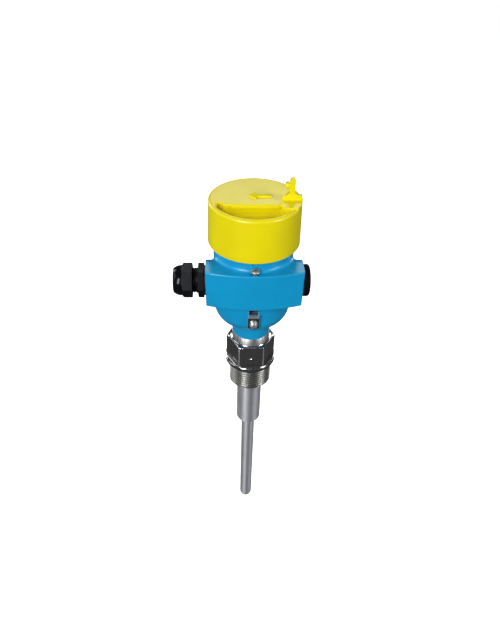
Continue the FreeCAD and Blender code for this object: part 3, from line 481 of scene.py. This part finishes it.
ownMaterials = {"sensor_tube": rodMaterial, "sensing_rod": rodMaterial,  # nodes that differ from their slot
                "earth_clamp": steelMaterial("clampSteel", clampSteel),
                "gland_nut": mouldedMaterial("noseNylon", noseNylon),
                "blind_plug": mouldedMaterial("plugNylon", plugNylon)}

slotOf = {row["node"]: row["material_slot"] for row in frame["record"]["subparts"]}
for name, obj in nodes.items():
    dress(obj, ownMaterials.get(name, finishes[slotOf[name]]))
print("materials on", len(nodes), "nodes")


# copies of CAD nodes that get threads cut into them

threadCrease = 28.0
sectionCorners = 3
runOutPick = {"rise": 2.0, "beside": 0.05}  # the thread's end, in sizes of its section


def copyNode(nodeName):
    pick(nodes[nodeName])
    bpy.ops.object.duplicate()
    piece = bpy.context.object
    del piece["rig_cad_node"]
    cleanMesh(piece)
    return piece


def cutAway(piece, cutter):
    pick(piece)
    carve = piece.modifiers.new("carve", "BOOLEAN")
    carve.operation = "DIFFERENCE"
    carve.solver = "EXACT"
    carve.object = cutter
    applyAll(piece)
    bpy.data.objects.remove(cutter)
    cleanMesh(piece)


def windThread(thread):
    # a three-cornered section is wound round Z, its tip pointing to the thread's root
    section = thread["section"]
    side = -1 if thread["inside"] else 1
    clearSelection()
    bpy.ops.mesh.primitive_circle_add(vertices=sectionCorners, radius=section,
                                      rotation=(math.radians(90.0), math.radians(-90.0 * side), 0),
                                      location=(thread["rootR"] + side * section, 0, thread["start"]))
    cutter = bpy.context.object
    freeze(cutter)
    wind = cutter.modifiers.new("wind", "SCREW")
    wind.axis = "Z"
    wind.angle = math.radians(360.0)
    wind.screw_offset = thread["pitch"]
    wind.iterations = thread["turns"]
    wind.steps = thread["steps"]
    wind.render_steps = thread["steps"]
    applyAll(cutter)
    bpy.ops.object.mode_set(mode="EDIT")
    bpy.ops.mesh.select_all(action="SELECT")
    bpy.ops.mesh.fill_holes(sides=sectionCorners)
    bpy.ops.mesh.normals_make_consistent(inside=False)
    # the last stretch comes out of the metal
    bpy.ops.mesh.select_all(action="DESELECT")
    bpy.ops.object.mode_set(mode="OBJECT")
    heights = [vertex.co.z for vertex in cutter.data.vertices]
    atTop = thread["runOutAt"] == "top"
    for vertex in cutter.data.vertices:
        gap = max(heights) - vertex.co.z if atTop else vertex.co.z - min(heights)
        besideEnd = abs(vertex.co.y) < section * runOutPick["beside"] and vertex.co.x > 0
        vertex.select = gap < section * runOutPick["rise"] and besideEnd
    bpy.ops.object.mode_set(mode="EDIT")
    spread = thread["runOutScale"]
    bpy.ops.transform.resize(value=(spread, spread, 1), center_override=(0, 0, 0), use_proportional_edit=True,
                             use_proportional_connected=True, proportional_edit_falloff="SMOOTH",
                             proportional_size=thread["runOut"])
    bpy.ops.object.mode_set(mode="OBJECT")
    if "lay" in thread:  # along -X, on the cable entry's axis
        cutter.rotation_euler = (0, math.radians(-90.0), 0)
        cutter.location = thread["lay"]
        freeze(cutter)
    return cutter


def ballCutter(mark):
    clearSelection()
    bpy.ops.mesh.primitive_uv_sphere_add(segments=mark["segments"], ring_count=mark["rings"],
                                         radius=mark["radius"], location=mark["place"])
    ball = bpy.context.object
    freeze(ball)
    return ball


fittingThread = {"pitch": 0.002309, "rootR": 0.01514, "section": 0.00125, "start": -0.0232, "turns": 9,
                 "steps": 72, "inside": False, "runOutAt": "top", "runOut": 0.012, "runOutScale": 1.14}
punchMark = {"place": (0.0, -0.01670, 0.0122), "radius": 0.00140, "segments": 24, "rings": 12}
fitting = copyNode("process_fitting")
cutAway(fitting, windThread(fittingThread))
cutAway(fitting, ballCutter(punchMark))
smoothBy(fitting, threadCrease)
settle(fitting, "threadedFitting", "base", finishes["stainless_steel"])
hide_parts("process_fitting")

glandThread = {"pitch": 0.0015, "rootR": 0.0074, "section": 0.00075, "start": 0.0374, "turns": 5, "steps": 60,
               "inside": False, "runOutAt": "bottom", "runOut": 0.006, "runOutScale": 1.16,
               "lay": (0, -0.0161, 0.0849)}
gland = copyNode("gland_body")
cutAway(gland, windThread(glandThread))
smoothBy(gland, threadCrease)
settle(gland, "threadedGland", "base", finishes["gland_black"])
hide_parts("gland_body")

cupThread = {"pitch": 0.002, "rootR": 0.0260, "section": 0.0009, "start": 0.1098, "turns": 7, "steps": 96,
             "inside": False, "runOutAt": "bottom", "runOut": 0.016, "runOutScale": 1.06}
housing = copyNode("housing")
cutAway(housing, windThread(cupThread))
smoothBy(housing, threadCrease)
settle(housing, "threadedHousing", "base", finishes["housing_blue"])
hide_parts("housing")

lidThread = {"pitch": 0.002, "rootR": 0.0279, "section": 0.0009, "start": 0.1052, "turns": 8, "steps": 96,
             "inside": True, "runOutAt": "top", "runOut": 0.016, "runOutScale": 0.94}
lid = copyNode("lid")
cutAway(lid, windThread(lidThread))
smoothBy(lid, threadCrease)
settle(lid, "threadedLid", "lid", finishes["lid_yellow"])
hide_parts("lid")
print("threads cut")


# raised arrow on the lid, pointing the way it turns to open

arrowMark = {"tipX": -0.0038, "wingX": 0.0007, "neckX": 0.0011, "tailX": 0.0104, "centreY": 0.0015,
             "wing": 0.0046, "shaft": 0.0014, "blunt": 0.10, "lidTop": 0.1363, "sunk": 0.0003, "rise": 0.0010,
             "edge": 0.0010, "edgeSteps": 4, "crease": 40.0, "slack": 0.00001}


def pullHead(fromX, toX, widen):  # the chosen edge moves along X and gets wider or narrower there
    bpy.ops.mesh.extrude_region_move(TRANSFORM_OT_translate={"value": (toX - fromX, 0, 0)})
    bpy.ops.transform.resize(value=(1, widen, 1), center_override=(toX, arrowMark["centreY"], 0))


clearSelection()
shaftLong = arrowMark["tailX"] - arrowMark["neckX"]
bpy.ops.mesh.primitive_plane_add(size=1.0, location=(arrowMark["neckX"] + shaftLong / 2, arrowMark["centreY"],
                                                     arrowMark["lidTop"] - arrowMark["sunk"]))
arrow = bpy.context.object
arrow.scale = (shaftLong, arrowMark["shaft"] * 2, 1)
freeze(arrow)
for vertex in arrow.data.vertices:
    vertex.select = abs(vertex.co.x - arrowMark["neckX"]) < arrowMark["slack"]
for edge in arrow.data.edges:
    edge.select = all(arrow.data.vertices[i].select for i in edge.vertices)
for face in arrow.data.polygons:
    face.select = False
bpy.ops.object.mode_set(mode="EDIT")
bpy.ops.mesh.select_mode(type="EDGE")
pullHead(arrowMark["neckX"], arrowMark["wingX"], arrowMark["wing"] / arrowMark["shaft"])
pullHead(arrowMark["wingX"], arrowMark["tipX"], arrowMark["blunt"])
bpy.ops.mesh.select_mode(type="VERT")
bpy.ops.object.mode_set(mode="OBJECT")
cleanMesh(arrow)
thicken = arrow.modifiers.new("thicken", "SOLIDIFY")
thicken.thickness = arrowMark["rise"] + arrowMark["sunk"]
thicken.offset = 1.0
soften = arrow.modifiers.new("soften", "BEVEL")
soften.width = arrowMark["edge"]
soften.segments = arrowMark["edgeSteps"]
soften.limit_method = "ANGLE"
soften.angle_limit = math.radians(arrowMark["crease"])
applyAll(arrow)
cleanMesh(arrow)
smoothBy(arrow, arrowMark["crease"])
settle(arrow, "arrowMark", "lid", arrowMaterial)


# marks on the electronics module: a scale round the dial, numbers at the terminals

dialScale = {"centre": (0.0, -0.0075), "top": 0.076, "inner": 0.0036, "outer": 0.0048, "width": 0.00035,
             "sunk": 0.0001, "rise": 0.00015, "count": 11, "first": -135.0, "last": 135.0, "edge": 0.00006,
             "edgeSteps": 2, "crease": 30.0}
clearSelection()
bpy.ops.mesh.primitive_cube_add(size=1.0, location=(0, 0, (dialScale["rise"] - dialScale["sunk"]) / 2))
tick = bpy.context.object
tick.scale = (dialScale["outer"] - dialScale["inner"], dialScale["width"],
              dialScale["rise"] + dialScale["sunk"])
freeze(tick)
bpy.ops.object.mode_set(mode="EDIT")
bpy.ops.mesh.select_all(action="SELECT")
bpy.ops.mesh.bevel(offset=dialScale["edge"], segments=dialScale["edgeSteps"], affect="EDGES")
bpy.ops.object.mode_set(mode="OBJECT")
ticks = [tick]
for step in range(1, dialScale["count"]):
    pick(tick)
    bpy.ops.object.duplicate()
    ticks.append(bpy.context.object)
reach = (dialScale["inner"] + dialScale["outer"]) / 2
turnRange = dialScale["last"] - dialScale["first"]
for step, obj in enumerate(ticks):
    angle = math.radians(dialScale["first"] + turnRange * step / (dialScale["count"] - 1))
    obj.rotation_euler = (0, 0, angle)
    obj.location = (dialScale["centre"][0] + reach * math.cos(angle),
                    dialScale["centre"][1] + reach * math.sin(angle), dialScale["top"])
    freeze(obj)
    smoothBy(obj, dialScale["crease"])
    settle(obj, "dialTick.%02d" % (step + 1), "base", finishes["switch_white"])

terminalNumbers = {"first": -0.0118, "spacing": 0.0059, "count": 5, "y": 0.0052, "top": 0.0860,
                   "fontSize": 0.00252, "rise": 0.00012}
for index in range(terminalNumbers["count"]):
    clearSelection()
    bpy.ops.object.text_add(location=(terminalNumbers["first"] + terminalNumbers["spacing"] * index,
                                      terminalNumbers["y"], terminalNumbers["top"]))
    number = bpy.context.object
    number.data.body = str(index + 1)
    number.data.align_x = "CENTER"
    number.data.size = terminalNumbers["fontSize"]
    number.data.extrude = terminalNumbers["rise"]
    bpy.ops.object.convert(target="MESH")
    number = bpy.context.object
    freeze(number)
    cleanMesh(number)
    settle(number, "terminalNumber.%02d" % (index + 1), "base", finishes["switch_white"])
print("marks on lid and module made")


# camera

cameraView = {"place": (-0.0171, -0.2942, 0.2864), "direction": (0.0420, 0.7679, -0.6392),
              "roll": 1.8, "lens": 29.685, "sensor": 36.0, "near": 0.01, "far": 50.0}
clearSelection()
bpy.ops.object.camera_add(location=cameraView["place"])
camera = bpy.context.object
camera.name = "photoCamera"
camera.data.lens = cameraView["lens"]
camera.data.sensor_width = cameraView["sensor"]
camera.data.clip_start = cameraView["near"]
camera.data.clip_end = cameraView["far"]
camera.rotation_mode = "QUATERNION"
aim = Vector(cameraView["direction"]).to_track_quat("-Z", "Y")
camera.rotation_quaternion = aim @ Quaternion((0, 0, 1), math.radians(cameraView["roll"]))
bpy.context.scene.camera = camera


# floor and backdrop

studio = {"floorZ": -0.27, "floorSize": 14.0, "floorTone": (0.92, 0.92, 0.92), "floorRough": 0.9,
          "floorGlow": 0.95, "worldTone": 0.06, "backdropTone": 1.0}
clearSelection()
bpy.ops.mesh.primitive_plane_add(size=studio["floorSize"], location=(0, 0, studio["floorZ"]))
floor = bpy.context.object
floor.name = "studioFloor"
floorPaint = bpy.data.materials.new("floorPaint")
floorPaint.use_nodes = True
floorShader = floorPaint.node_tree.nodes["Principled BSDF"]
floorShader.inputs["Base Color"].default_value = (*studio["floorTone"], 1)
floorShader.inputs["Roughness"].default_value = studio["floorRough"]
floorShader.inputs["Emission Color"].default_value = (1, 1, 1, 1)
floorShader.inputs["Emission Strength"].default_value = studio["floorGlow"]
floor.data.materials.append(floorPaint)
floor.visible_glossy = False  # the bare steel would mirror it and fade into it
floor.visible_diffuse = False

# the backdrop is pale to the eye, and dimmer as a light
world = bpy.data.worlds.new("studioWorld")
world.use_nodes = True
worldTree = world.node_tree
seen = addNode(worldTree, "ShaderNodeLightPath", (-400, 0))
level = addNode(worldTree, "ShaderNodeMapRange", (-200, 0), None,
                {"To Min": studio["worldTone"], "To Max": studio["backdropTone"]})
worldTree.links.new(seen.outputs["Is Camera Ray"], level.inputs["Value"])
worldTree.nodes["Background"].inputs["Color"].default_value = (1, 1, 1, 1)
worldTree.links.new(level.outputs["Result"], worldTree.nodes["Background"].inputs["Strength"])
bpy.context.scene.world = world


# lights, in degrees right of the front and up, all at one distance from the point they look at

lightAim = {"point": (0.0, 0.0, 0.05), "away": 1.2}
lights = {"keyLight": {"right": -31.0, "up": 25.0, "width": 0.30, "height": 0.80, "watts": 13.2},
          "leftLight": {"right": -88.0, "up": 22.0, "width": 0.60, "height": 0.80, "watts": 2.4},
          "fillLight": {"right": 56.0, "up": 23.0, "width": 0.26, "height": 0.80, "watts": 7.2},
          "backPanel": {"right": 176.0, "up": 40.0, "width": 0.46, "height": 0.36, "watts": 2.7},
          "behindLeft": {"right": -130.0, "up": 14.0, "width": 0.40, "height": 0.80, "watts": 4.2},
          "behindRight": {"right": 130.0, "up": 14.0, "width": 0.40, "height": 0.80, "watts": 4.6}}
target = Vector(lightAim["point"])
for name, light in lights.items():
    right, up = math.radians(light["right"]), math.radians(light["up"])
    side = math.sin(right) * math.cos(up)
    front = -math.cos(right) * math.cos(up)
    place = target + Vector((side, front, math.sin(up))) * lightAim["away"]
    clearSelection()
    bpy.ops.object.light_add(type="AREA", location=place)
    lamp = bpy.context.object
    lamp.name = name
    lamp.data.shape = "RECTANGLE"
    lamp.data.size = light["width"]
    lamp.data.size_y = light["height"]
    lamp.data.energy = light["watts"]
    lamp.rotation_mode = "QUATERNION"
    lamp.rotation_quaternion = (target - place).to_track_quat("-Z", "Y")
bpy.context.scene.view_settings.view_transform = "Standard"
print("camera, floor and lights set")
